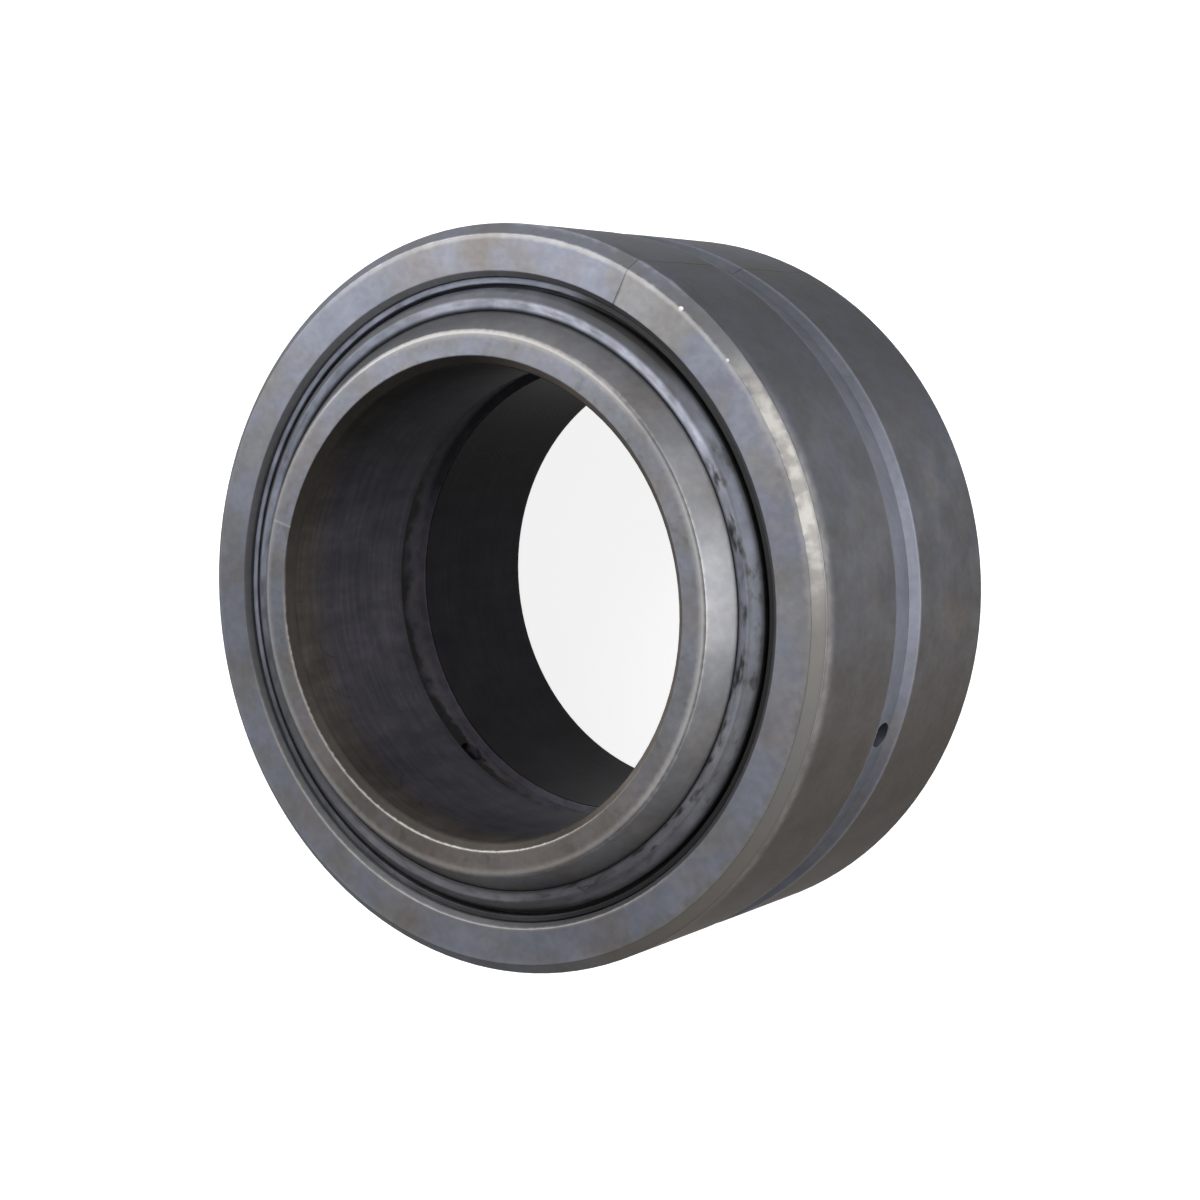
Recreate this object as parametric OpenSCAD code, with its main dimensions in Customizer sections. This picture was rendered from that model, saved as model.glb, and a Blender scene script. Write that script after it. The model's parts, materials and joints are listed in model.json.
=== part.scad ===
// Radial spherical plain bearing, steel on steel, with a lip seal on each side. Millimetres.
// +Z is the axis of both rings, and the origin is the centre of the spherical sliding surface.
// The sphered inner ring turns and tilts inside the outer ring, which is broken open at one place
// so that it can be sprung over the inner ring. Both rings carry an oil groove and oil holes.

/* [Inner ring] */
// Diameter of the bore
bore_d = 57.15; // [50:0.05:60]
// Thickness of the wall between the bore and the spherical sliding surface, at the middle
inner_wall = 12.425; // [11:0.005:16]
// Width along the axis
inner_w = 50.013; // [46:0.001:54]
// Chamfer at both ends of the bore
bore_chamfer = 1; // [0.6:0.1:1.4]
// Broken edge between an end face and the sphere, measured across the face
sphere_edge = 0.35; // [0.2:0.05:0.6]

/* [Outer ring] */
// Thickness of the wall round the sliding surface, at the middle
outer_wall = 4.194; // [3.4:0.001:8]
// Width along the axis
outer_w = 42.85; // [36:0.01:46]
// Radial running clearance between the two rings
race_gap = 0.05; // [0.02:0.01:0.09]
// Chamfer at the outside edges, measured across the face
rim_chamfer_r = 1.3; // [0.8:0.1:2]
// Chamfer at the outside edges, measured along the axis
rim_chamfer_z = 1.3; // [0.8:0.1:2.4]
// Radius that breaks the edges of the faces
edge_r = 0.25; // [0.1:0.05:0.4]
// Angle round the axis at which the ring is broken open
fracture_angle = 60; // [0:1:359]
// Width of the fracture
fracture_gap = 0.06; // [0.06:0.01:0.2]
// How far the fracture wanders to either side
fracture_jag = 0.22; // [0:0.01:0.4]

/* [Oil grooves and holes] */
// Diameter of the oil holes in both rings
hole_d = 3.2; // [2:0.1:3.4]
// Number of oil holes in each ring
hole_count = 2; // [1:1:4]
// Angle of the first oil hole in the outer ring
outer_hole_angle = 337; // [0:1:359]
// Angle of the first oil hole in the inner ring
inner_hole_angle = 227; // [0:1:359]
// Width of the groove round the outside, at its mouth
rim_groove_w = 6.4; // [5:0.1:9]
// Width of each sloping side of that groove, along the axis
rim_groove_side = 1.4; // [0.5:0.1:2]
// Depth of the groove round the outside
rim_groove_depth = 0.85; // [0.6:0.05:1.4]
// Width of the groove in the bore, at its mouth
bore_groove_w = 5.1; // [4.4:0.1:8]
// Width of each steep side of that groove, along the axis
bore_groove_side = 0.15; // [0.05:0.05:1]
// Depth of the groove in the bore
bore_groove_depth = 1; // [0.4:0.1:2]
// Width of the groove in the outer ring's sliding surface, at its mouth
race_groove_w = 5; // [4.4:0.1:8]
// Width of each sloping side of that groove, along the axis
race_groove_side = 0.9; // [0.3:0.1:1.2]
// Depth of the groove in the outer ring's sliding surface
race_groove_depth = 0.9; // [0.4:0.1:1.2]

/* [Seals] */
// Radial room for a seal between the sphere and its seat, at the outer ring's face
seal_w = 4; // [3.6:0.1:4.6]
// Chamfer at the mouth of a seal's seat
seat_chamfer = 0.6; // [0.4:0.05:1]
// Depth of a seal's seat below the outer ring's face
seat_depth = 3.4; // [3.2:0.1:4.4]
// Height of the groove that holds a seal's bead, at the bottom of the seat
bead_h = 1.5; // [1:0.1:1.9]
// Radial depth of the groove that holds a seal's bead
bead_depth = 0.7; // [0.3:0.1:1]
// Clearance between a seal and its seat
seal_fit = 0.05; // [0.03:0.01:0.1]
// Clearance between a seal's lips and the sphere
lip_gap = 0.1; // [0.06:0.01:0.2]
// Thickness of a lip's edge
lip_t = 0.25; // [0.15:0.05:0.4]
// Height of a lip's edge above the outer ring's face
lip_rise = 0.4; // [0.2:0.05:0.5]
// Height of a seal's crown above the outer ring's face
crown_rise = 0.6; // [0.55:0.05:0.9]
// Depth of a seal's outer rim below the outer ring's face
rim_drop = 0.95; // [0.9:0.05:1.2]
// Width of a seal's outer rim
rim_w = 0.8; // [0.6:0.05:0.9]
// Width of the gap between a seal's outer rim and its body
vee_w = 0.5; // [0.3:0.05:0.6]
// Thickness of the web at the bottom of a seal
web_t = 1; // [0.8:0.05:1.3]
// Radius of the grease pocket between a seal's two lips
pocket_r = 0.55; // [0.3:0.05:0.6]

/* [Hidden] */
$fn = 180;

// Steps in the arc that rounds a corner, and in the fracture's line
arc_steps = 4;
fracture_steps = 12;
// Cuts run past the surface that they cut by this much
past = 1;

// Diameter of the spherical sliding surface, 82, and the outside diameter, 90.488: they follow
// the bore, so that neither wall is lost when one size changes
sphere_d = bore_d + 2 * inner_wall;
outer_d = sphere_d + 2 * (race_gap + outer_wall);

bore_r = bore_d / 2;
sphere_r = sphere_d / 2;
race_r = sphere_r + race_gap;
rim_r = outer_d / 2;
face_z = outer_w / 2;
end_z = inner_w / 2;

// A groove's floor is what its two sides leave of its mouth
rim_floor_w = rim_groove_w - 2 * rim_groove_side;
bore_floor_w = bore_groove_w - 2 * bore_groove_side;
race_floor_w = race_groove_w - 2 * race_groove_side;

// A seal's seat in the outer ring: a bore, and under it the groove for the bead
seat_r = radius_on_sphere(sphere_r, face_z) + seal_w;
seat_floor_z = face_z - seat_depth;
bead_r = seat_r + bead_depth;

// A seal's section, from the rim in the seat to the lips on the sphere
lip_r = sphere_r + lip_gap;
rim_out = seat_r - seal_fit;
rim_in = rim_out - rim_w;
body_out = rim_in - vee_w;
lip_edge_z = face_z + lip_rise;
lip_edge_r = radius_on_sphere(lip_r + lip_t, lip_edge_z);
body_w = body_out - lip_edge_r;
seal_floor_z = seat_floor_z + seal_fit;
web_top_z = seal_floor_z + web_t;
// Where the body's outer slope bends and where its crown begins, as shares of its width
bend_share = 0.2;
crown_share = 0.6;

function unit(v) = v / norm(v);
function angle_of(v) = atan2(v[1], v[0]);
function point_at(centre, r, a) = centre + r * [cos(a), sin(a)];
// Radius of a sphere of radius r at height z above its centre
function radius_on_sphere(r, z) = sqrt(r * r - z * z);
// Shortest turn from angle a to angle b
function turn(a, b) = let(d = b - a) d > 180 ? d - 360 : d < -180 ? d + 360 : d;

// Points of the arc of radius r that rounds corner b between a and c
function corner_arc(a, b, c, r) =
    let(
        u = unit(a - b),
        v = unit(c - b),
        half = acos(u * v) / 2,
        centre = b + unit(u + v) * r / sin(half),
        first = angle_of(b + u * r / tan(half) - centre),
        last = angle_of(b + v * r / tan(half) - centre)
    )
    [for (i = [0 : arc_steps]) point_at(centre, r, first + turn(first, last) * i / arc_steps)];

// Outline from corners [x, y, radius]: a corner with radius 0 stays sharp
function rounded(corners) =
    let(n = len(corners), at = [for (c = corners) [c[0], c[1]]])
    [
        for (i = [0 : n - 1])
            let(r = corners[i][2])
            each r == 0 ? [at[i]] : corner_arc(at[(i + n - 1) % n], at[i], at[(i + 1) % n], r)
    ];

// The same corners on the other side of z = 0, in reverse order
function mirrored(corners) =
    [for (i = [len(corners) - 1 : -1 : 0]) [corners[i][0], -corners[i][1], corners[i][2]]];

// Half of the outer ring's section: the sphere that is cut from it later makes the race
outer_half = [
    [rim_r - rim_groove_depth, rim_floor_w / 2, 0],
    [rim_r, rim_groove_w / 2, edge_r],
    [rim_r, face_z - rim_chamfer_z, edge_r],
    [rim_r - rim_chamfer_r, face_z, edge_r],
    [seat_r + seat_chamfer, face_z, edge_r],
    [seat_r, face_z - seat_chamfer, 0],
    [seat_r, seat_floor_z + bead_h, 0],
    [bead_r, seat_floor_z + bead_h, 0],
    [bead_r, seat_floor_z, 0],
    [radius_on_sphere(race_r, seat_floor_z) - past, seat_floor_z, 0]
];

// Half of the inner ring's section: the sphere that bounds it is met in inner_ring()
sphere_end_r = radius_on_sphere(sphere_r, end_z);
edge_slope = asin(end_z / sphere_r);
inner_half = [
    [sphere_r + past, end_z - (sphere_r + past - sphere_end_r + sphere_edge) * tan(edge_slope / 2), 0],
    [sphere_end_r - sphere_edge, end_z, 0],
    [bore_r + bore_chamfer, end_z, edge_r],
    [bore_r, end_z - bore_chamfer, edge_r],
    [bore_r, bore_groove_w / 2, edge_r],
    [bore_r + bore_groove_depth, bore_floor_w / 2, 0]
];

// A seal's whole section, before the sphere and the grease pocket are cut from it
seal_section = [
    [body_out - body_w - past, seal_floor_z, 0],
    [bead_r - seal_fit, seal_floor_z, 0],
    [bead_r - seal_fit, seat_floor_z + bead_h - seal_fit, 0],
    [rim_out, seat_floor_z + bead_h - seal_fit, 0],
    [rim_out, face_z - rim_drop, rim_w / 4],
    [rim_in, face_z - rim_drop, rim_w / 4],
    [rim_in, web_top_z, 0],
    [body_out, web_top_z, 0],
    [body_out, face_z - rim_drop, rim_w / 8],
    [body_out - bend_share * body_w, face_z - lip_rise / 2, 0],
    [body_out - crown_share * body_w, face_z + crown_rise, edge_r],
    [lip_edge_r, lip_edge_z, 0],
    [lip_edge_r - past, lip_edge_z - past * lip_edge_z / lip_edge_r, 0]
];

// Oil holes through the wall of a ring, from radius r_in to radius r_out
module oil_holes(first_angle, r_in, r_out) {
    for (i = [0 : hole_count - 1]) {
        rotate([0, 90, first_angle + 360 * i / hole_count]) {
            translate([0, 0, r_in]) cylinder(d = hole_d, h = r_out - r_in, $fn = 48);
        }
    }
}

// The line along which the outer ring was cracked: a thin sheet that wanders as it goes along the axis
function jag_at(i) = fracture_jag * sin(i * 97) * sin(i * 41 + 30);
module fracture() {
    step = (outer_w + 2 * past) / fracture_steps;
    near = [for (i = [0 : fracture_steps]) [jag_at(i), i * step - face_z - past]];
    far = [for (i = [fracture_steps : -1 : 0]) near[i] + [fracture_gap, 0]];
    rotate([0, 0, fracture_angle]) {
        rotate([90, 0, 90]) linear_extrude(height = rim_r + past) polygon(concat(near, far));
    }
}

module race_groove() {
    floor_r = race_r + race_groove_depth;
    open_w = race_groove_w + 2 * past * race_groove_side / race_groove_depth;
    rotate_extrude() polygon([
        [race_r - past, -open_w / 2],
        [floor_r, -race_floor_w / 2],
        [floor_r, race_floor_w / 2],
        [race_r - past, open_w / 2]
    ]);
}

module outer_ring() {
    color([0.29, 0.29, 0.30]) difference() {
        rotate_extrude() polygon(rounded(concat(outer_half, mirrored(outer_half))));
        sphere(r = race_r);
        race_groove();
        oil_holes(outer_hole_angle, race_r - past, rim_r + past);
        fracture();
    }
}

module inner_ring() {
    color([0.36, 0.36, 0.37]) difference() {
        intersection() {
            rotate_extrude() polygon(rounded(concat(inner_half, mirrored(inner_half))));
            sphere(r = sphere_r);
        }
        oil_holes(inner_hole_angle, bore_r - past, sphere_r + past);
    }
}

// A seal in the seat at +Z: its two lips follow the sphere, with a grease pocket between them
module seal() {
    lip_a = asin(lip_edge_z / lip_r);
    heel_a = asin(web_top_z / lip_r);
    pocket = point_at([0, 0], lip_r, (lip_a + heel_a) / 2);
    difference() {
        rotate_extrude() polygon(rounded(seal_section));
        sphere(r = lip_r);
        rotate_extrude() translate(pocket) circle(r = pocket_r, $fn = 32);
    }
}

module front_seal() {
    color([0.20, 0.20, 0.22]) seal();
}

module rear_seal() {
    color([0.20, 0.20, 0.22]) mirror([0, 0, 1]) seal();
}

outer_ring();
inner_ring();
front_seal();
rear_seal();
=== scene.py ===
# %% [markdown]
# A radial spherical plain bearing is a steel ring with a ball-shaped outside, which turns and
# tilts inside a second steel ring. A rubber lip seal closes the gap between them at each face.
# The shapes come ready made from the CAD model. This file gives them their finish: phosphated
# steel with rubbed edges, oil stains and greasy rubber, and some light and shade painted into
# their colours. It also sets up the camera, the floor and the lamps.

import json
import math
from collections import namedtuple

import bpy
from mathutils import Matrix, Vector

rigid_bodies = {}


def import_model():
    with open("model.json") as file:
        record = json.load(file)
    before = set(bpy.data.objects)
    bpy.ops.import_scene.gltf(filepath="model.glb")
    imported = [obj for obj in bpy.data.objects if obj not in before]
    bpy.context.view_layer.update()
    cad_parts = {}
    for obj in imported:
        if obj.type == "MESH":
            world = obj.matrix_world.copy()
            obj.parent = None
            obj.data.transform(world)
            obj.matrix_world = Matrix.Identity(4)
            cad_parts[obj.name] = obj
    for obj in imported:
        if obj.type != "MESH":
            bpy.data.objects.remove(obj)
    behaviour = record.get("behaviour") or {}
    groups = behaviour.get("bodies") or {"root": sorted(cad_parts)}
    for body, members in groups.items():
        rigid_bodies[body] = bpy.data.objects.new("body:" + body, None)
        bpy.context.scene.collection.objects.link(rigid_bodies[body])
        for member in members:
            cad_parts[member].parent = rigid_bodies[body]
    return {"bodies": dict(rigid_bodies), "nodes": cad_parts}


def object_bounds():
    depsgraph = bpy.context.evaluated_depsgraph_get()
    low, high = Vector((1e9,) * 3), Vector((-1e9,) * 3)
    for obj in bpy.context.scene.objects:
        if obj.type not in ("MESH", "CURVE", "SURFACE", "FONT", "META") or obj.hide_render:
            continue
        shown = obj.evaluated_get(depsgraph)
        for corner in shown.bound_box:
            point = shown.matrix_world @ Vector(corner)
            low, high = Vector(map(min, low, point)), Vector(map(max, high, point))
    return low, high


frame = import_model()
cad_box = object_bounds()
scene = bpy.context.scene
scene.view_settings.view_transform = "Standard"
print("nodes:", ", ".join(frame["nodes"]))
print("bodies:", ", ".join(frame["bodies"]))

# %% [markdown]
# Every finish on a turned part follows its edges: paint and phosphate rub off there first. So the
# edges are needed as numbers. They could be typed in again, but then they would go wrong as soon
# as the model changes. Here they are read from the mesh: a turned ring is known by the radius and
# the height of its corners, so a helper finds the corner that lies nearest to a rough guess.

# %% Read the edges of the rings from the mesh
MM = 0.001
Edge = namedtuple("Edge", "radius height")


def corner(node, radius, height):
    """The ring's corner nearest to a guess, with its radius and height in millimetres."""
    here = (
        Edge(math.hypot(vertex.co.x / MM, vertex.co.y / MM), abs(vertex.co.z / MM))
        for vertex in frame["nodes"][node].data.vertices
    )
    return min(here, key=lambda edge: math.dist(edge, (radius, height)))


FACE_OUT = corner("outer_ring", 43.9, 21.4)
FACE_IN = corner("outer_ring", 39.6, 21.4)
RIM_TOP = corner("outer_ring", 45.2, 20.1)
GROOVE_LIP = corner("outer_ring", 45.2, 3.2)
GROOVE_FLOOR = corner("outer_ring", 44.4, 1.8)
END_OUT = corner("inner_ring", 32.1, 25.0)
END_IN = corner("inner_ring", 29.6, 25.0)
BORE_TOP = corner("inner_ring", 28.6, 24.0)
BORE_GROOVE = corner("inner_ring", 28.6, 2.55)
print("outer ring's face from", FACE_IN, "to", FACE_OUT, "and its rim at", RIM_TOP)
print("inner ring's end from", END_IN, "to", END_OUT, "and its bore at", BORE_TOP)

# %% [markdown]
# The camera stands in front and to the right of the bearing and looks down into its bore, about
# 29 cm away. Its place was worked out from the photograph: the edges of both rings are circles of
# known size, and there is one camera place that shows all of them as the ellipses that are seen.

# %% Place the camera
SENSOR = 36
LENS = 68.13
CAMERA_AT = Vector((163.81, 17.55, 239.34))
CAMERA_PITCH = -4.507
CAMERA_YAW = 34.038

camera = bpy.data.objects.new("camera", bpy.data.cameras.new("camera"))
scene.collection.objects.link(camera)
scene.camera = camera
camera.data.sensor_width = SENSOR
camera.data.lens = LENS
camera.location = CAMERA_AT * MM
camera.rotation_mode = "YXZ"
camera.rotation_euler = (math.radians(CAMERA_PITCH), math.radians(CAMERA_YAW), 0)
print(f"camera {CAMERA_AT.length:.0f} mm from the middle of the bearing")

# %% [markdown]
# A finish is a small network of nodes, and each node made by hand takes four lines. A helper
# class keeps that short: each method adds one node and gives back its output, so that a network
# reads like a sum. A number goes into a socket as its value, and an output goes in as a link. A
# Mix node has a pair of inputs for each kind of data, so the two kinds used here are written down
# by number.

# %% A helper that adds nodes
MIX_NUMBERS = ("FLOAT", 2, 3, 0)
MIX_COLOURS = ("RGBA", 6, 7, 2)


class Network:
    """The nodes of one material: each method adds a node and returns its output."""

    def __init__(self, name):
        self.material = bpy.data.materials.new(name)
        self.material.use_nodes = True
        self.tree = self.material.node_tree
        self.shader = self.tree.nodes["Principled BSDF"]

    def feed(self, socket, value):
        if isinstance(value, bpy.types.NodeSocket):
            self.tree.links.new(value, socket)
        else:
            socket.default_value = value

    def node(self, kind, *values, **settings):
        """Adds a node, feeds the values to its first inputs, and returns the node itself."""
        made = self.tree.nodes.new(kind)
        for key, value in settings.items():
            setattr(made, key, value)
        for socket, value in zip(made.inputs, values):
            self.feed(socket, value)
        return made

    def math(self, operation, *values):
        return self.node("ShaderNodeMath", *values, operation=operation).outputs[0]

    def plus(self, first, second):
        return self.math("ADD", first, second)

    def minus(self, first, second):
        return self.math("SUBTRACT", first, second)

    def times(self, first, *others):
        for other in others:
            first = self.math("MULTIPLY", first, other)
        return first

    def either(self, first, *others):
        for other in others:
            first = self.math("MAXIMUM", first, other)
        return first

    def length(self, across, along):
        return self.math("SQRT", self.plus(self.times(across, across), self.times(along, along)))

    def scaled(self, vector, factor):
        made = self.node("ShaderNodeVectorMath", vector, operation="SCALE")
        self.feed(made.inputs["Scale"], factor)
        return made.outputs[0]

    def moved(self, vector, shift):
        return self.node("ShaderNodeVectorMath", vector, shift, operation="ADD").outputs[0]

    def join(self, x, y, z):
        return self.node("ShaderNodeCombineXYZ", x, y, z).outputs[0]

    def mix(self, kind, mask, first, second):
        data_type, first_socket, second_socket, output = kind
        made = self.node("ShaderNodeMix", mask, data_type=data_type)
        self.feed(made.inputs[first_socket], first)
        self.feed(made.inputs[second_socket], second)
        return made.outputs[output]

    def blend(self, mask, first, second):
        """A number that goes from first to second as the mask goes from 0 to 1."""
        return self.mix(MIX_NUMBERS, mask, first, second)

    def tint(self, mask, first, second):
        """A colour that goes from first to second as the mask goes from 0 to 1."""
        return self.mix(MIX_COLOURS, mask, first, second)


print("a Mix node's sockets for numbers:", MIX_NUMBERS, "and for colours:", MIX_COLOURS)

# %% [markdown]
# A mask is a number from 0 to 1 that says where something lies. Masks could be painted pictures,
# but on a turned piece a few lengths say it better: the distance from the axis, the height above
# or below the middle, and the angle round the axis. The angle is 0 degrees at the right, 90 at
# the top and 180 at the left, as the camera sees it. All lengths are millimetres. Where the
# finish is irregular a cloud of noise is mixed in, and its shift picks a different piece of cloud
# each time.

# %% A helper that says where a finish lies


class Masks(Network):
    """Masks on a turned piece: numbers from 0 to 1 made of radius, height, angle and clouds."""

    def __init__(self, name):
        super().__init__(name)
        self.place = self.scaled(self.node("ShaderNodeTexCoord").outputs["Object"], 1 / MM)
        self.x, self.y, self.z = self.node("ShaderNodeSeparateXYZ", self.place).outputs
        self.height = self.math("ABSOLUTE", self.z)
        self.radius = self.length(self.x, self.y)
        self.angle = self.times(self.math("ARCTAN2", self.y, self.x), 180 / math.pi)

    def outside_of(self, mask):
        return self.minus(1.0, mask)

    def ramp(self, value, low, high, first=0.0, last=1.0):
        """A smooth step from first to last while the value goes from low to high."""
        step = ("ShaderNodeMapRange", value, low, high, first, last)
        return self.node(*step, interpolation_type="SMOOTHSTEP").outputs[0]

    def band(self, value, low, high, soft):
        """1 while the value is between low and high, with soft ends."""
        up = self.ramp(value, low - soft, low + soft)
        down = self.ramp(value, high - soft, high + soft, 1.0, 0.0)
        return self.times(up, down)

    def sector(self, start, end, soft):
        """1 between two angles round the axis, going from start up to end, with soft ends."""
        middle, half = (start + end) / 2, (end - start) / 2
        turned = self.math("WRAP", self.minus(self.angle, middle), 180.0, -180.0)
        return self.ramp(self.math("ABSOLUTE", turned), half - soft, half + soft, 1.0, 0.0)

    def near(self, edge, width, fray=0.0):
        """1 on an edge, falling to 0 at some width from it. A fray makes the width uneven."""
        across = self.minus(self.radius, edge.radius)
        along = self.minus(self.height, edge.height)
        return self.ramp(self.plus(self.length(across, along), fray), width, 0.0)

    def dot(self, edge, angle, size):
        """A small round mark on the front side's edge, at an angle round the axis."""
        turn = math.radians(angle)
        dx = self.minus(self.x, edge.radius * math.cos(turn))
        dy = self.minus(self.y, edge.radius * math.sin(turn))
        dz = self.minus(self.z, edge.height)
        return self.ramp(self.length(self.length(dx, dy), dz), size, size / 2)

    def cloud(self, size, detail, shift, low=0.35, high=0.65, place=None):
        """Soft patches about size millimetres wide, from 0 to 1."""
        made = self.node("ShaderNodeTexNoise")
        self.feed(made.inputs["Vector"], self.moved(place or self.place, shift))
        self.feed(made.inputs["Scale"], 1 / size)
        self.feed(made.inputs["Detail"], detail)
        return self.ramp(made.outputs[0], low, high)

    def hairs(self, size, width, shift):
        """Thin winding lines, 1 on each line: they run where a cloud crosses its middle."""
        cloud = self.cloud(size, 0.0, shift, low=0.0, high=1.0)
        return self.ramp(self.math("ABSOLUTE", self.minus(cloud, 0.5)), width, 0.0)


print("masks are made of lengths in millimetres, angles in degrees, and clouds")

# %% [markdown]
# The finish is painted in coats, as a model maker would: first the clean steel, then the stains,
# and the rubbed edges last. A coat shows where its mask is 1, and hides what is below it there. A
# shade only makes what is there lighter or darker. Several masks are multiplied, and a plain
# number among them thins the coat. The level is how light a grey is, and the tone is the grey's
# tint.

# %% A helper that lays coats


class Finish(Masks):
    """A finish in the making: its level, tone, roughness and metal after the coats so far."""

    def __init__(self, name, level, tone, rough, metal):
        super().__init__(name)
        self.level, self.tone, self.rough, self.metal = level, tone, rough, metal

    def coat(self, *masks, level=None, tone=None, rough=None, metal=None):
        """Lays a coat over what is there so far."""
        mask = self.times(*masks)
        if level is not None:
            self.level = self.blend(mask, self.level, level)
        if tone is not None:
            self.tone = self.tint(mask, self.tone, tone)
        if rough is not None:
            self.rough = self.blend(mask, self.rough, rough)
        if metal is not None:
            self.metal = self.blend(mask, self.metal, metal)

    def shade(self, factor, *masks):
        """Makes what is there so far lighter or darker by a factor."""
        self.level = self.times(self.level, self.blend(self.times(*masks), 1.0, factor))

    def shade_parts(self, surface, parts):
        """Shades parts of a surface. A part is its start and end angle, softness and factor."""
        for start, end, soft, factor in parts:
            self.shade(factor, surface, self.sector(start, end, soft))

    def vary(self, cloud, low, high):
        """Makes what is there so far uneven: the factor goes from low to high with the cloud."""
        self.level = self.times(self.level, self.blend(cloud, low, high))

    def note(self, what):
        print(f"{self.material.name}: {what}, {len(self.tree.nodes)} nodes so far")

    def done(self, grain, depth):
        """Feeds the coats to the shader. The grain is a fine cloud, and its depth millimetres."""
        self.feed(self.shader.inputs["Base Color"], self.scaled(self.tone, self.level))
        self.feed(self.shader.inputs["Roughness"], self.rough)
        self.feed(self.shader.inputs["Metallic"], self.metal)
        bump = self.node("ShaderNodeBump")
        self.feed(bump.inputs["Distance"], depth * MM)
        self.feed(bump.inputs["Height"], grain)
        self.feed(self.shader.inputs["Normal"], bump.outputs[0])
        self.note("finished")
        return self.material


print("a finish is laid in coats, from clean steel to rubbed edges")

# %% [markdown]
# Phosphate leaves steel a soft blue grey, and oil turns it brown in patches. Rubbed places are
# cream coloured, because bare steel reflects the pale room. The greys are written once, as tints,
# and each surface then needs only one number for how light it is. Phosphate is porous and matt,
# so it hardly gets brighter towards a grazing view: a specular tint below 1 does that.

# %% The greys of steel and rubber
PLAIN_GREY = (0.99, 1.00, 1.07, 1)
BLUE_GREY = (0.94, 0.99, 1.19, 1)
BROWN_GREY = (1.15, 1.00, 0.88, 1)
VIOLET_GREY = (1.05, 0.99, 1.22, 1)
CREAM = (1.04, 1.00, 0.95, 1)
RUBBER_BLUE = (0.92, 1.00, 1.26, 1)
RUBBER_GREY = (0.99, 1.00, 1.15, 1)
METAL = 0.8
GRAZING_TINT = (0.45, 0.45, 0.45, 1)
print("plain grey", PLAIN_GREY[:3], "and metal", METAL)

# %% [markdown]
# The outer ring is turned, phosphated and then handled. One material covers the whole ring: masks
# made of the radius and the height say which surface a point is on. Separate materials on groups
# of faces would be simpler, but the finish of a real ring doesn't stop at an edge, and the rubbed
# places run across it. First come the clouds that the later coats share, each with its size in
# millimetres.

# %% Outer ring: clouds
steel = Finish("outer_ring_steel", level=0.13, tone=PLAIN_GREY, rough=0.6, metal=0.2)
patches = steel.cloud(6.0, 4.0, shift=(3, 1, 7))
fine = steel.cloud(1.1, 3.0, shift=(9, 4, 2))
fray = steel.cloud(0.9, 3.0, shift=(1, 8, 5), low=0.3, high=0.7)
oily = steel.cloud(9.0, 4.0, shift=(5, 2, 9), low=0.46, high=0.72)
clumps = steel.cloud(1.8, 4.0, shift=(6, 8, 5))
steel.note("clouds")

# %% [markdown]
# The ring has six surfaces that look different: the face, the bevel at its edge, the outside, the
# oil groove, the groove's floor, and the seat of the seal. Each mask is made of soft steps about
# a tenth of a millimetre wide, because no edge of a used ring is quite sharp. The middle of the
# ring's wall keeps the outside's groove apart from the one that is hidden in the race.

# %% Outer ring: tell its surfaces apart
MIDDLE_OF_WALL = 43.0
SEAT_LOW = 18.0
past_face = steel.ramp(steel.radius, FACE_OUT.radius - 0.03, FACE_OUT.radius + 0.05)
top = steel.times(
    steel.ramp(steel.height, FACE_OUT.height - 0.5, FACE_OUT.height - 0.35),
    steel.ramp(steel.radius, FACE_IN.radius - 0.1, FACE_IN.radius),
)
face = steel.times(top, steel.outside_of(past_face))
bevel = steel.times(
    past_face, steel.ramp(steel.height, RIM_TOP.height - 0.05, RIM_TOP.height + 0.15)
)
outside = steel.times(
    steel.ramp(steel.radius, RIM_TOP.radius - 0.10, RIM_TOP.radius - 0.02),
    steel.outside_of(bevel),
)
in_groove = steel.times(
    steel.ramp(steel.height, GROOVE_LIP.height + 0.1, GROOVE_LIP.height - 0.1),
    steel.ramp(steel.radius, MIDDLE_OF_WALL, MIDDLE_OF_WALL + 0.2),
)
groove_floor = steel.times(
    in_groove, steel.ramp(steel.height, GROOVE_FLOOR.height + 0.1, GROOVE_FLOOR.height - 0.1)
)
seat = steel.times(
    steel.ramp(steel.radius, FACE_IN.radius + 0.05, FACE_IN.radius - 0.03),
    steel.ramp(steel.height, SEAT_LOW, SEAT_LOW + 0.6),
)
steel.note("surfaces")

# %% [markdown]
# The clean coating: the faces are the lightest, because they were ground before the bath. The
# outside is dark and matt, and the oil groove, which no housing rubs, keeps a bluer tone, turned
# brown by oil only low on the ring. A table of parts then paints light into the groove at the
# right, and makes the groove and the outside darker in two places round the ring.

# %% Outer ring: the clean coating
round_the_side = steel.either(outside, in_groove)
low_oil = steel.times(oily, steel.sector(-150, -20, 28))
greys = steel.tint(patches, PLAIN_GREY, BLUE_GREY)
face_greys = steel.tint(steel.ramp(patches, 0.0, 0.6), PLAIN_GREY, BLUE_GREY)
groove_greys = steel.tint(low_oil, BLUE_GREY, BROWN_GREY)

steel.coat(face, level=0.275, tone=face_greys, rough=0.42, metal=METAL)
steel.coat(outside, level=0.051, tone=greys, rough=0.62, metal=METAL)
steel.coat(bevel, level=0.09, tone=greys, rough=0.55, metal=METAL)
steel.coat(in_groove, level=0.070, tone=groove_greys, rough=0.55, metal=METAL)
steel.coat(groove_floor, level=0.080, tone=BLUE_GREY, rough=0.55)
# start and end angle, softness, factor
# painted light: the groove is lighter at the right
steel.shade_parts(in_groove, [(-22, 24, 12, 1.5)])
steel.shade_parts(round_the_side, [(-70, -26, 12, 0.84), (40, 62, 10, 0.84)])
steel.vary(patches, 0.93, 1.07)
steel.vary(fine, 0.95, 1.05)
steel.note("clean coating")
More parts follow.
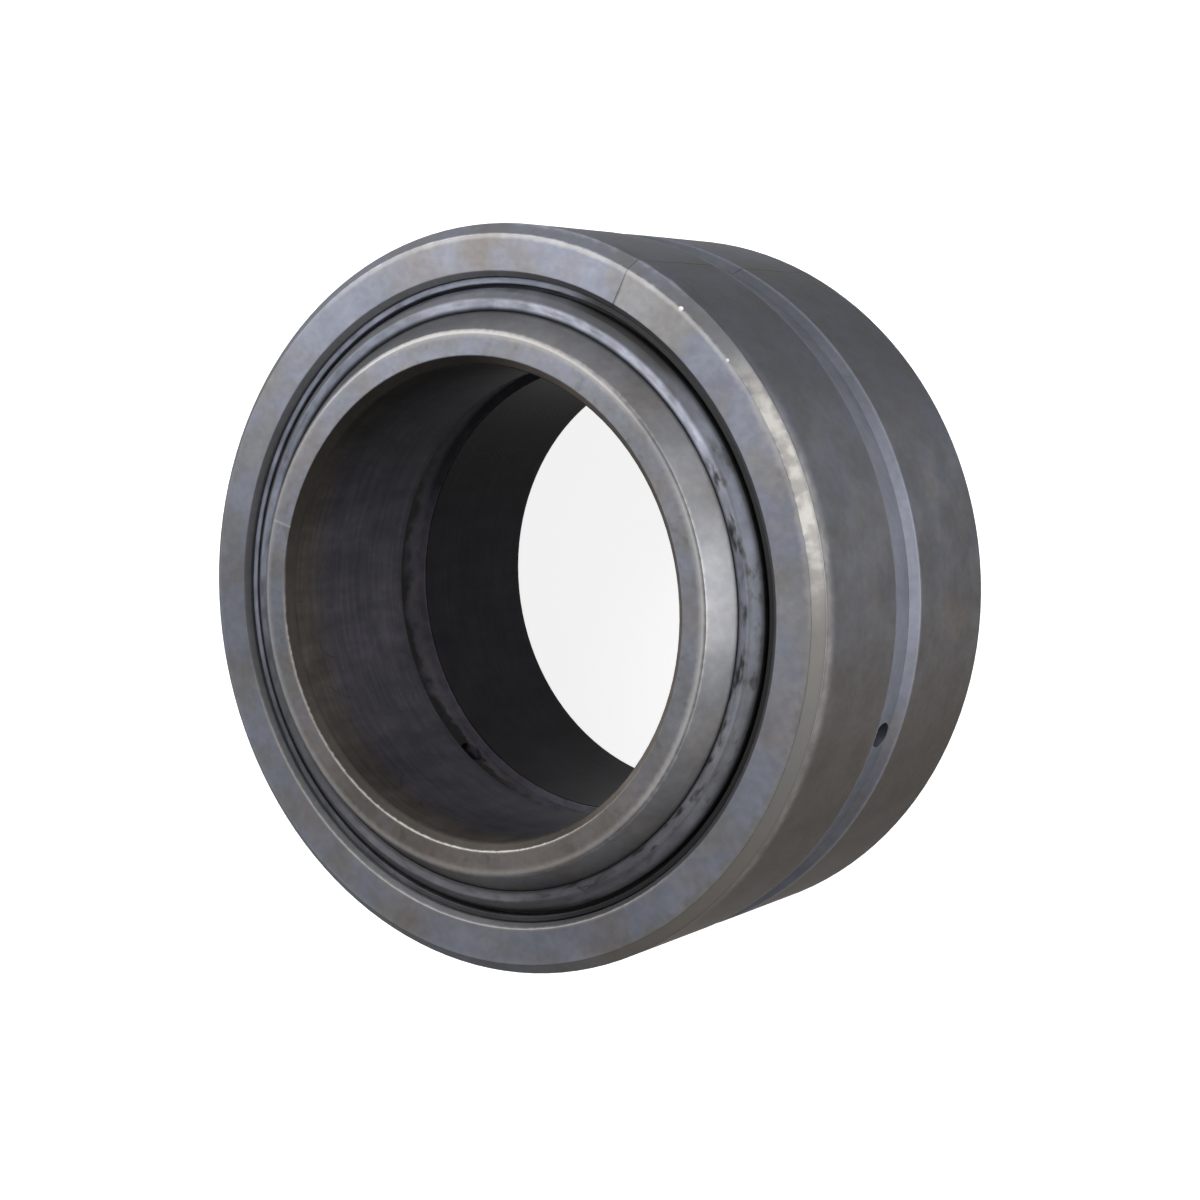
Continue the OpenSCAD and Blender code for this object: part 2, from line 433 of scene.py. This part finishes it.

# %% [markdown]
# Oil and old grease stain the coating brown. On the outside the stain gathers low down, where the
# ring lay on benches, and at the right hands have wiped it lighter in patches. On the face the oil
# is only a breath. The stains could be drawn one by one, but a few clouds give the same look with
# less work. The tables of parts paint light and shade: the outside lighter at the right, shade in
# the seal's seat on the right half of the ring, and the face lighter and darker part by part round
# the ring.

# %% Outer ring: oil on the outside and the face, and painted light and shade
low_side = steel.sector(-150, -10, 28)
wiped = steel.times(
    steel.sector(-15, 24, 12), steel.cloud(5.0, 4.0, shift=(8, 8, 3), low=0.38, high=0.7)
)
steel.coat(low_side, outside, tone=BROWN_GREY)
steel.coat(wiped, outside, 0.5, tone=steel.tint(oily, PLAIN_GREY, BROWN_GREY))
steel.shade(1.25, wiped, outside)
steel.coat(oily, face, 0.5, tone=BROWN_GREY)
steel.shade(0.90, oily, face)
steel.shade(1.10, steel.cloud(5.0, 3.0, shift=(2, 9, 4), low=0.5, high=0.7), face)
# start and end angle, softness, factor
# painted light: the outside is lighter at the right
steel.shade_parts(outside, [(-15, 26, 12, 1.2), (6, 30, 8, 1.12)])
# painted shade in the seal's seat, on the right half of the ring
steel.shade_parts(seat, [(-84, 74, 12, 0.6)])
# painted light and shade: the face lighter and darker part by part round the ring
FACE_LIGHT_AND_SHADE_PARTS = [
    (-14, 4, 7, 1.12),
    (4, 17, 7, 0.89),
    (17, 28, 7, 1.08),
    (30, 56, 7, 0.87),
    (120, 150, 7, 1.10),
    (166, 194, 7, 0.85),
    (276, 302, 7, 0.88),
]
steel.shade_parts(face, FACE_LIGHT_AND_SHADE_PARTS)
steel.note("oil and grease")

# %% [markdown]
# The outer ring is cracked open at one place, so that it can be sprung over the inner ring.
# Beside the crack one patch is lighter and warmer, and it stops at the crack, because the ring
# was cracked before the patch was wiped. A little dirt has gathered in the crack itself.

# %% Outer ring: beside the crack
CRACK = 60.0
PATCH_START = 43.0
DIRT_FROM, DIRT_TO = 43.2, 41.2
before_crack = steel.times(
    steel.ramp(steel.angle, PATCH_START, PATCH_START + 6.0),
    steel.ramp(steel.angle, CRACK - 0.3, CRACK - 0.1, 1.0, 0.0),
)
crack_dirt = steel.times(
    steel.band(steel.angle, CRACK - 0.25, CRACK + 0.25, 0.15),
    steel.ramp(steel.radius, DIRT_FROM, DIRT_TO),
)
steel.coat(before_crack, face, 0.6, tone=CREAM)
steel.shade(1.12, before_crack, face)
steel.shade(0.75, crack_dirt, face)
steel.note("the crack's surroundings")

# %% [markdown]
# Metal is rubbed bare where the ring rolled on benches and slid into boxes: a wide band on the
# bevel at the right, which runs over onto the face on one side and onto the outside on the other.
# Part of the band's brightness is painted highlight: the bevel is lighter still from 3 to 36
# degrees, and on the outside the rub is painted much lighter next to the rim, fading over about
# two millimetres. At the rim's very edge a narrow band is painted darker, to tone its highlight
# down.
# A rub always has a ragged edge, so clumps are added to the radius before the mask is made. Bare
# steel is smoother than phosphate at first, but rolling has scratched it matt, so the coat is
# rough.

# %% Outer ring: the rubbed bevel
ragged = steel.plus(steel.radius, steel.times(clumps, -0.6))
# painted highlight over the rub: the bevel is lighter from 3 to 36 degrees
rub_and_highlight_levels = steel.blend(steel.sector(3, 36, 8), 0.105, steel.blend(clumps, 0.31, 0.20))
rolled = steel.times(
    steel.sector(-66, 40, 12),
    bevel,
    steel.ramp(ragged, FACE_OUT.radius - 1.0, FACE_OUT.radius - 0.1),
)
low_face = steel.times(
    face,
    steel.sector(-66, 0, 9),
    steel.ramp(ragged, FACE_OUT.radius - 1.4, FACE_OUT.radius - 0.3),
)
worn_face = steel.times(
    face,
    steel.sector(-6, 38, 9),
    steel.ramp(ragged, FACE_OUT.radius - 1.2, FACE_OUT.radius - 0.3),
)
# rubbed steel and painted light, fading away from the rim
worn_and_lit_rim = steel.times(
    outside,
    steel.ramp(steel.z, RIM_TOP.height - 2.4, RIM_TOP.height - 0.2),
    steel.sector(-48, 30, 16),
)
steel.coat(rolled, level=rub_and_highlight_levels, tone=CREAM, rough=0.62)
steel.coat(bevel, steel.sector(-80, -36, 12), 0.6, tone=BROWN_GREY)
steel.coat(low_face, 0.7, tone=CREAM)
steel.shade(0.82, low_face)
steel.coat(worn_face, 0.5, level=0.44, tone=CREAM, rough=0.5)
steel.coat(worn_and_lit_rim, 0.6, tone=CREAM)
steel.shade(2.6, worn_and_lit_rim, steel.blend(clumps, 0.6, 1.0))
# painted shade at the rim's edge tones down its highlight
steel.shade(0.72, steel.near(RIM_TOP, 0.4), steel.sector(-66, 40, 12))
steel.note("rubbed bevel")

# %% [markdown]
# Thin bright lines follow the edges that hands and housings touch: the face's two edges and the
# lips of the oil groove. The lines on the face's edges are painted highlight as well: the outer
# one is strong only from 38 to 120 degrees, and the inner one shows only from 198 to 308 degrees.
# Two small knocks shine like dots. A line is a mask of the distance to an edge, and fine fray
# makes it broken, because a perfect line would look drawn. The line at the face's outer edge lies
# a little inside it, where it doesn't fall over the edge and vanish.

# %% Outer ring: bright edges
small_fray = steel.times(fray, 0.1)
FACE_LINE = Edge(FACE_OUT.radius - 0.25, FACE_OUT.height)
knocks = steel.either(steel.dot(FACE_OUT, 49, 0.38), steel.dot(FACE_OUT, 38, 0.25))
flecks = steel.times(
    steel.near(RIM_TOP, 0.9, steel.times(clumps, 0.5)), steel.sector(48, 90, 6), patches
)
# rubbed edge and painted highlight, strong only from 38 to 120 degrees
worn_and_highlit_face_line = steel.times(
    steel.near(FACE_LINE, 0.55, steel.times(fray, 0.12)),
    steel.either(steel.sector(38, 120, 16), 0.10),
    steel.blend(patches, 0.55, 0.95),
)
# rubbed edge and painted highlight, only from 198 to 308 degrees
worn_and_highlit_seat_line = steel.times(steel.near(FACE_IN, 0.4, small_fray), steel.sector(198, 308, 12))
steel.coat(flecks, level=0.17, tone=BLUE_GREY)
steel.coat(worn_and_highlit_face_line, level=0.50, tone=CREAM, metal=0.5)
steel.coat(knocks, level=0.6, tone=CREAM)
steel.coat(worn_and_highlit_seat_line, level=0.36, tone=CREAM)
steel.coat(steel.near(GROOVE_LIP, 0.5, small_fray), 0.6, level=0.13, tone=BLUE_GREY)
steel.shader.inputs["Specular Tint"].default_value = GRAZING_TINT
outer_steel = steel.done(fine, depth=0.006)

# %% [markdown]
# The inner ring is the same steel with the same coating, but its surfaces differ more: the ends
# are light and mottled, the ball-shaped outside is smoother and shines, and the bore is nearly
# black with old grease. So it gets a material of its own, made in the same way.

# %% Inner ring: clouds and surfaces
MOUTH_LOW = 20.0
steel = Finish("inner_ring_steel", level=0.105, tone=PLAIN_GREY, rough=0.42, metal=METAL)
patches = steel.cloud(4.5, 4.0, shift=(13, 1, 7))
fine = steel.cloud(1.0, 3.0, shift=(9, 14, 2))
fray = steel.cloud(0.8, 3.0, shift=(1, 8, 15), low=0.3, high=0.7)
oily = steel.cloud(8.0, 3.0, shift=(5, 12, 9), low=0.45, high=0.72)

in_bore = steel.ramp(steel.radius, END_IN.radius + 0.02, END_IN.radius - 0.1)
wall = steel.ramp(steel.radius, BORE_TOP.radius + 0.1, BORE_TOP.radius + 0.02)
mouth = steel.times(
    in_bore, steel.outside_of(wall), steel.ramp(steel.height, MOUTH_LOW, MOUTH_LOW + 2.0)
)
end_face = steel.times(
    steel.ramp(steel.height, END_OUT.height - 0.12, END_OUT.height - 0.03),
    steel.outside_of(in_bore),
)
ball = steel.ramp(steel.radius, END_OUT.radius, END_OUT.radius + 0.3)
bore_groove = steel.times(
    steel.band(steel.radius, BORE_TOP.radius + 0.06, BORE_TOP.radius + 2.0, 0.04),
    steel.ramp(steel.height, BORE_GROOVE.height + 0.1, BORE_GROOVE.height - 0.05),
)
steel.note("clouds and surfaces")

# %% [markdown]
# In the bore the front half gets some light and the rear half almost none, and grease makes both
# darker still. The lamps alone would leave the two halves too much alike, so the coating itself
# is darker towards the rear. Near the mouth, and at the mouth's slanted edge, oil has turned it
# brown.

# %% Inner ring: the clean coating
DARK_BELOW, LIGHT_ABOVE = -2.0, 5.0
BROWN_FROM, BROWN_TO = 16.0, 23.8
wall_levels = steel.blend(steel.ramp(steel.z, DARK_BELOW, LIGHT_ABOVE), 0.007, 0.032)
# painted light and shade on the mouth's slanted edge: light at the right, dark on the rest,
# darkest at the upper left
mouth_shade_levels = steel.blend(steel.sector(75, 200, 20), 0.034, 0.022)
mouth_light_and_shade_levels = steel.blend(steel.sector(70, 310, 20), 0.2, mouth_shade_levels)
near_mouth = steel.ramp(steel.z, BROWN_FROM, BROWN_TO)
end_greys = steel.tint(patches, PLAIN_GREY, BLUE_GREY)
steel.coat(end_face, level=0.26, tone=end_greys, rough=0.42)
steel.coat(wall, level=wall_levels, tone=VIOLET_GREY, rough=0.42)
steel.coat(wall, near_mouth, level=0.036, tone=BROWN_GREY, rough=0.5)
steel.coat(mouth, level=mouth_light_and_shade_levels, tone=BROWN_GREY, rough=0.5)
steel.coat(steel.near(BORE_TOP, 0.4), level=0.010, tone=BROWN_GREY, rough=0.7, metal=0.2)
steel.note("clean coating")

# %% [markdown]
# In the bore's oil groove grease has gathered at the near side, and the far side is lighter. The
# dark near side is painted shade as well, where the groove's near lip shades it, and the light far
# side is painted light. From the top round to the left the groove is painted darker still. Low on
# the left a dark lump of grease sits at the oil hole. The border between dark and light is lumpy,
# so a cloud is added to the height before the ramp that goes from the one to the other.

# %% Inner ring: grease and painted shade in the oil groove
lumps = steel.cloud(2.2, 4.0, shift=(33, 6, 15), low=0.3, high=0.7)
grease_and_shade_edge = steel.plus(steel.z, steel.times(lumps, -1.6))
# grease and painted shade on the near side, painted light on the far side
grease_and_shade_levels = steel.ramp(grease_and_shade_edge, 0.4, -2.6, 0.007, 0.16)
by_the_hole = steel.times(
    bore_groove, steel.sector(212, 240, 6), steel.ramp(grease_and_shade_edge, -2.2, -1.2)
)
steel.coat(bore_groove, level=grease_and_shade_levels, tone=VIOLET_GREY, rough=0.7, metal=0.1)
steel.vary(steel.outside_of(steel.times(bore_groove, lumps)), 0.75, 1.0)
# start and end angle, softness, factor
# painted shade from the top round to the left
steel.shade_parts(bore_groove, [(60, 158, 12, 0.3), (158, 200, 10, 0.75)])
steel.shade(0.15, by_the_hole)
steel.vary(patches, 0.92, 1.08)
steel.vary(fine, 0.95, 1.05)
steel.note("grease in the groove")

# %% [markdown]
# Thin clouds that run round the bore look like the marks of the grinding wheel. They are ordinary
# clouds in a stretched space: where a direction is multiplied by a large number, the cloud gets
# thin that way. Longer ones along the bore are the wipe marks of shafts, and a few hairlines are
# scratches. Last, a table of parts paints a sheen on the wall at the left and at the bottom, and
# shade at the top.

# %% Inner ring: marks, painted sheen and shade in the bore
round_bore = steel.join(
    steel.times(steel.z, 6.0), steel.times(steel.x, 0.4), steel.times(steel.y, 0.4)
)
along_bore = steel.join(steel.x, steel.y, steel.times(steel.z, 0.25))
wheel_marks = steel.cloud(4.0, 3.0, shift=(3, 3, 1), place=round_bore)
wipe_marks = steel.cloud(2.4, 4.0, shift=(8, 3, 6), place=along_bore)
broken = steel.cloud(5.0, 1.0, shift=(17, 2, 9), low=0.5, high=0.6)
steel.shade(1.25, wall, wheel_marks)
steel.vary(steel.either(steel.outside_of(wall), wipe_marks), 0.8, 1.0)
steel.shade(1.2, wall, steel.cloud(7.0, 3.0, shift=(21, 3, 16), low=0.5, high=0.7))
steel.shade(0.7, wall, steel.hairs(11.0, 0.010, shift=(4, 13, 6)), broken)
# start and end angle, softness, factor
# painted sheen at the left and the bottom of the bore, painted shade at its top
WALL_SHEEN_AND_SHADE_PARTS = [(238, 305, 16, 1.6), (168, 218, 15, 1.4), (60, 145, 20, 0.5)]
steel.shade_parts(wall, WALL_SHEEN_AND_SHADE_PARTS)
steel.note("marks in the bore")

# %% [markdown]
# Oil darkens the lower left of the end face and of the bore's mouth, and turns both brown. Tables
# of parts round the ring paint light and shade on top of that: the end face lighter at the top
# left and darker at the upper right, at the left and at the lower left, and the ball darker at the
# upper right and the lower right and lighter low down. Clouds make the small differences.

# %% Inner ring: oil, and painted light and shade
OIL_FROM, OIL_TO = 17.0, 23.0
stained = steel.sector(205, 320, 20)
steel.shade(0.8, end_face, stained)
steel.shade(0.86, end_face, steel.cloud(1.8, 2.0, shift=(31, 8, 15), low=0.60, high=0.70))
# start and end angle, softness, factor
# painted light and shade round the end face and on the ball
END_LIGHT_AND_SHADE_PARTS = [(168, 200, 9, 0.83), (222, 258, 9, 0.8), (25, 95, 9, 0.92), (45, 140, 15, 1.12)]
BALL_LIGHT_AND_SHADE_PARTS = [(30, 68, 10, 0.75), (282, 335, 10, 0.8), (255, 278, 8, 1.35)]
steel.shade_parts(end_face, END_LIGHT_AND_SHADE_PARTS)
steel.shade_parts(ball, BALL_LIGHT_AND_SHADE_PARTS)
low_mouth = steel.times(steel.ramp(steel.z, OIL_FROM, OIL_TO), steel.sector(180, 320, 25))
steel.coat(end_face, stained, 0.7, tone=BROWN_GREY)
steel.coat(wall, low_mouth, 0.8, tone=BROWN_GREY)
steel.coat(oily, steel.outside_of(in_bore), 0.5, tone=BROWN_GREY)
steel.note("oil")

# %% [markdown]
# The sharp edges are rubbed bare where shafts and fingers have gone past them, and one scratch
# crosses the end face. The worn line on the end's outer edge is painted highlight as well: it is
# strongest at the top and at the right. It is laid with little metal in it: the edge is so steep
# that bare metal would mirror the dark side of the room there.

# %% Inner ring: rubbed edges
SCRATCH = 160.5
WORN_EDGE = Edge(END_OUT.radius + 0.05, END_OUT.height - 0.02)
worn_and_highlit_parts = steel.either(
    steel.sector(40, 115, 15), steel.times(steel.sector(-50, 28, 10), 0.7), 0.4
)
# rubbed edge and painted highlight, strongest at the top and at the right
worn_and_highlit_edge = steel.near(WORN_EDGE, 0.85, steel.times(fray, 0.15))
mouth_line = steel.near(END_IN, 0.35, steel.times(fray, 0.1))
scratch = steel.band(steel.angle, SCRATCH - 0.2, SCRATCH + 0.2, 0.2)
steel.coat(worn_and_highlit_edge, worn_and_highlit_parts, level=0.38, tone=CREAM, metal=0.1)
steel.coat(mouth_line, steel.sector(176, 300, 14), level=0.33, tone=CREAM)
steel.coat(end_face, scratch, level=0.38, tone=CREAM)
steel.shader.inputs["Specular Tint"].default_value = GRAZING_TINT
inner_steel = steel.done(fine, depth=0.005)

# %% [markdown]
# The seals are blue-grey rubber with a satin surface. The outer rim and the crown are lighter
# than the slope between them, because they are touched and wiped. A seal has no flat faces to
# tell apart, so its surfaces are told by the radius alone. Both seals share one material.

# %% Seals: clean rubber
RIM = (38.1, 38.9)
CROWN = (35.2, 36.3)
SLOPE = (36.3, 37.6)
rubber = Finish("seal_rubber", level=0.042, tone=RUBBER_BLUE, rough=0.58, metal=0.0)
rim = rubber.band(rubber.radius, *RIM, 0.08)
crown = rubber.band(rubber.radius, *CROWN, 0.3)
slope = rubber.band(rubber.radius, *SLOPE, 0.2)
patches = rubber.cloud(3.0, 4.0, shift=(23, 1, 7))
around = rubber.join(rubber.times(rubber.radius, 3.0), rubber.x, rubber.y)
streaks = rubber.cloud(4.0, 4.0, shift=(2, 5, 8), place=around)
rubber.coat(rim, level=0.08)
rubber.coat(crown, level=0.085)
rubber.coat(slope, rough=0.66)
rubber.vary(patches, 0.85, 1.15)
rubber.vary(streaks, 0.88, 1.18)
rubber.note("clean rubber")

# %% [markdown]
# At the top and the upper left the rim and the crown are painted light, and low down painted shade
# makes them dull. Towards the right the whole middle of the seal is painted lighter, and the slope
# gets lighter and darker parts of its own. These are large and soft differences, so a table of
# parts is enough for them, and no cloud is needed.

# %% Seals: painted light and shade
INSIDE_RIM = (35.0, 37.4)
# start and end angle, softness, factor
RIM_LIGHT_AND_SHADE_PARTS = [(55, 190, 15, 2.6), (84, 200, 10, 1.3), (250, 300, 10, 0.42)]
CROWN_LIGHT_AND_SHADE_PARTS = [
    (30, 180, 20, 3.0),
    (14, 106, 12, 1.5),
    (285, 330, 12, 0.8),
    (225, 275, 12, 1.5),
    (8, 34, 8, 0.82),
    (46, 78, 8, 1.2),
]
SLOPE_LIGHT_AND_SHADE_PARTS = [(40, 70, 10, 0.7), (76, 100, 10, 1.5), (106, 140, 10, 0.7), (310, 345, 12, 0.7)]
# painted light and shade on the rim, the crown and the slope
rubber.shade_parts(rim, RIM_LIGHT_AND_SHADE_PARTS)
rubber.shade_parts(crown, CROWN_LIGHT_AND_SHADE_PARTS)
# painted light: the middle of the seal is lighter towards the right
rubber.shade_parts(rubber.band(rubber.radius, *INSIDE_RIM, 0.2), [(-50, 40, 15, 2.3)])
rubber.shade_parts(slope, SLOPE_LIGHT_AND_SHADE_PARTS)
rubber.note("wiped and dull parts")

# %% [markdown]
# Grease has worked out of the bearing and lies on the seals. Most of it is black smears, wiped
# along the ring: stretched clouds, squeezed across the ring and not along it. In four places black
# fills the outer part of the slope; on the right side it is grease and painted shadow, where the
# face's edge shades the gap. Below a thin film of it the rubber looks grey and no longer blue. A
# dark line of painted shade where the slope meets the crown comes last, and tones down the ridge's
# highlight.

# %% Seals: grease and painted shade
BLACK = 0.008
CROWN_SHADE_LINE = (36.05, 36.5)
smears = rubber.cloud(3.0, 4.0, shift=(12, 5, 8), low=0.50, high=0.70, place=around)
smeared_parts = rubber.either(rubber.sector(-80, 30, 10), 0.35)
left_fill = rubber.times(rubber.band(rubber.radius, 36.6, 37.9, 0.25), rubber.sector(140, 228, 10))
right_grease_and_shadow = rubber.times(rubber.sector(-80, 66, 10), rubber.ramp(rubber.radius, 37.3, 37.8))
low_fill = rubber.times(rubber.sector(236, 284, 8), rubber.band(rubber.radius, 36.8, 37.9, 0.2))
top_fill = rubber.times(rubber.sector(44, 66, 4), rubber.ramp(rubber.radius, 36.6, 37.1))
rubber.coat(left_fill, level=BLACK, tone=PLAIN_GREY, rough=0.35)
rubber.coat(rubber.sector(196, 350, 20), tone=RUBBER_GREY)
rubber.coat(crown, rubber.sector(10, 110, 10), 0.6, tone=RUBBER_GREY)
rubber.coat(smears, smeared_parts, level=0.012, tone=PLAIN_GREY, rough=0.6)
# grease and painted shadow in the gap on the right side
rubber.coat(right_grease_and_shadow, level=BLACK, tone=PLAIN_GREY, rough=0.5)
rubber.coat(low_fill, level=0.010, tone=PLAIN_GREY, rough=0.5)
rubber.coat(top_fill, level=BLACK, tone=PLAIN_GREY, rough=0.5)
# painted shade: a dark line over the ridge's highlight
rubber.shade(0.62, rubber.band(rubber.radius, *CROWN_SHADE_LINE, 0.12))
rubber.shader.inputs["IOR"].default_value = 1.5
seal_rubber = rubber.done(patches, depth=0.01)

# %% [markdown]
# Each piece keeps the mesh it has from the CAD model, and only its material is new. The mesh could
# be given rounder edges here, but then the pieces would no longer be the ones that were measured.
# A piece may come with a plain material in its slot, so the slots are cleared first.

# %% Give the pieces their finishes
finishes = {
    "outer_ring": outer_steel,
    "inner_ring": inner_steel,
    "front_seal": seal_rubber,
    "rear_seal": seal_rubber,
}
for node, finish in finishes.items():
    slots = frame["nodes"][node].data.materials
    slots.clear()
    slots.append(finish)
    print(node, "has", finish.name)

# %% [markdown]
# The bearing stands on the end of its inner ring, on a large pale sheet. As in a studio the sheet
# runs flat under the object and then curves up into a low wall, so that no horizon shows behind
# it. The sheet is one outline turned round the axis: a circle of points for each pair of radius
# and height. A plane would be quicker, but its far edge would show as a line.

# %% The outline of the floor sheet
SHEET_START = 0.5
FLAT_RADIUS = 3.0
WALL_RADIUS = 4.0
WALL_HEIGHT = 1.4
BEND_STEPS = 8

bend = WALL_RADIUS - FLAT_RADIUS
outline = [(SHEET_START, 0.0), (FLAT_RADIUS, 0.0)]
for step in range(1, BEND_STEPS + 1):
    turn = math.pi / 2 * step / BEND_STEPS
    outline.append((FLAT_RADIUS + bend * math.sin(turn), bend * (1 - math.cos(turn))))
outline.append((WALL_RADIUS, WALL_HEIGHT))
print("the sheet's outline has", len(outline), "points")

# %% [markdown]
# Four points that lie next to each other make one face. The order of the four matters: it decides
# which side is the front, and the front has to look up and inwards, where the object is.

# %% Turn the outline into the floor
ROUND_STEPS = 64
floor_z = cad_box[0][2]

points, sides = [], []
for radius, height in outline:
    for step in range(ROUND_STEPS):
        turn = 2 * math.pi * step / ROUND_STEPS
        points.append((radius * math.cos(turn), radius * math.sin(turn), floor_z + height))
for ring in range(len(outline) - 1):
    for step in range(ROUND_STEPS):
        a = ring * ROUND_STEPS + step
        b = ring * ROUND_STEPS + (step + 1) % ROUND_STEPS
        sides.append((a, a + ROUND_STEPS, b + ROUND_STEPS, b))
sides.append(tuple(range(ROUND_STEPS)))
mesh = bpy.data.meshes.new("floor")
mesh.from_pydata(points, [], sides)
mesh.polygons.foreach_set("use_smooth", [True] * len(mesh.polygons))
floor = bpy.data.objects.new("floor", mesh)
scene.collection.objects.link(floor)
print("floor sheet with", len(sides), "faces, lying at", floor_z)

# %% [markdown]
# The sheet has to look white to the camera, and in the steel, without lighting the bearing more
# than the lamps do. So it adds some light of its own only for the rays that come from the camera,
# a gloss or a glass. The rest of its white comes from the lamps, and the bearing's soft shadow
# stays on it.

# %% Make the floor pale
FLOOR_GREY = 0.6
FLOOR_GLOW = 0.85
pale = Network("pale_sheet")
pale.shader.inputs["Base Color"].default_value = (FLOOR_GREY, FLOOR_GREY, FLOOR_GREY, 1)
pale.shader.inputs["Roughness"].default_value = 0.9
rays = pale.node("ShaderNodeLightPath").outputs
seen = pale.either(rays["Is Camera Ray"], rays["Is Glossy Ray"], rays["Is Transmission Ray"])
glow = pale.node("ShaderNodeEmission")
pale.feed(glow.inputs["Strength"], pale.times(seen, FLOOR_GLOW))
both = pale.node("ShaderNodeAddShader", pale.shader.outputs[0], glow.outputs[0])
pale.feed(pale.tree.nodes["Material Output"].inputs["Surface"], both.outputs[0])
mesh.materials.append(pale.material)
print("the sheet glows", FLOOR_GLOW, "for the rays that show it")

# %% [markdown]
# In the photograph the light is soft. Most of it comes from low on the right, which makes the
# bright band on the ball and on the rim, and from behind on the left, which lights the top of
# both faces. Weaker lamps between them fill the outside. Area lamps of 30 cm at half a metre give
# light of that softness, and a row of numbers for each lamp is easier to balance than six
# separate cells.

# %% Hang the lamps
LAMP_SIZE = 0.3
LAMP_AWAY = 0.5
# name, azimuth and height above the floor in degrees, watts
LAMPS = [
    ("right", 0, 18, 2.5),
    ("right_back", 45, 18, 1.0),
    ("back", 90, 18, 0.75),
    ("left_back", 135, 18, 1.3),
    ("left_back_high", 135, 50, 0.9),
    ("front_right", 315, 18, 0.35),
]
for name, azimuth, height, watts in LAMPS:
    a, h = math.radians(azimuth), math.radians(height)
    towards = Vector((math.cos(a) * math.cos(h), math.sin(a) * math.cos(h), math.sin(h)))
    lamp = bpy.data.lights.new(name, "AREA")
    lamp.size = LAMP_SIZE
    lamp.energy = watts
    holder = bpy.data.objects.new(name, lamp)
    scene.collection.objects.link(holder)
    holder.location = towards * LAMP_AWAY
    holder.rotation_euler = (-towards).to_track_quat("-Z", "Y").to_euler()
    print(f"lamp {name}: {watts} W from {azimuth} degrees, {height} degrees up")

# %% [markdown]
# The room itself is pale and dimly lit, so that no side of the bearing is lost in the dark. A
# picture of a real room would give livelier reflections, but matt steel hardly shows them, and an
# even world needs no other file.

# %% Light the room
ROOM_LIGHT = 0.25
scene.world = bpy.data.worlds.new("room")
scene.world.use_nodes = True
room = scene.world.node_tree.nodes["Background"]
room.inputs["Color"].default_value = (1, 1, 1, 1)
room.inputs["Strength"].default_value = ROOM_LIGHT
print("the room has a strength of", ROOM_LIGHT)
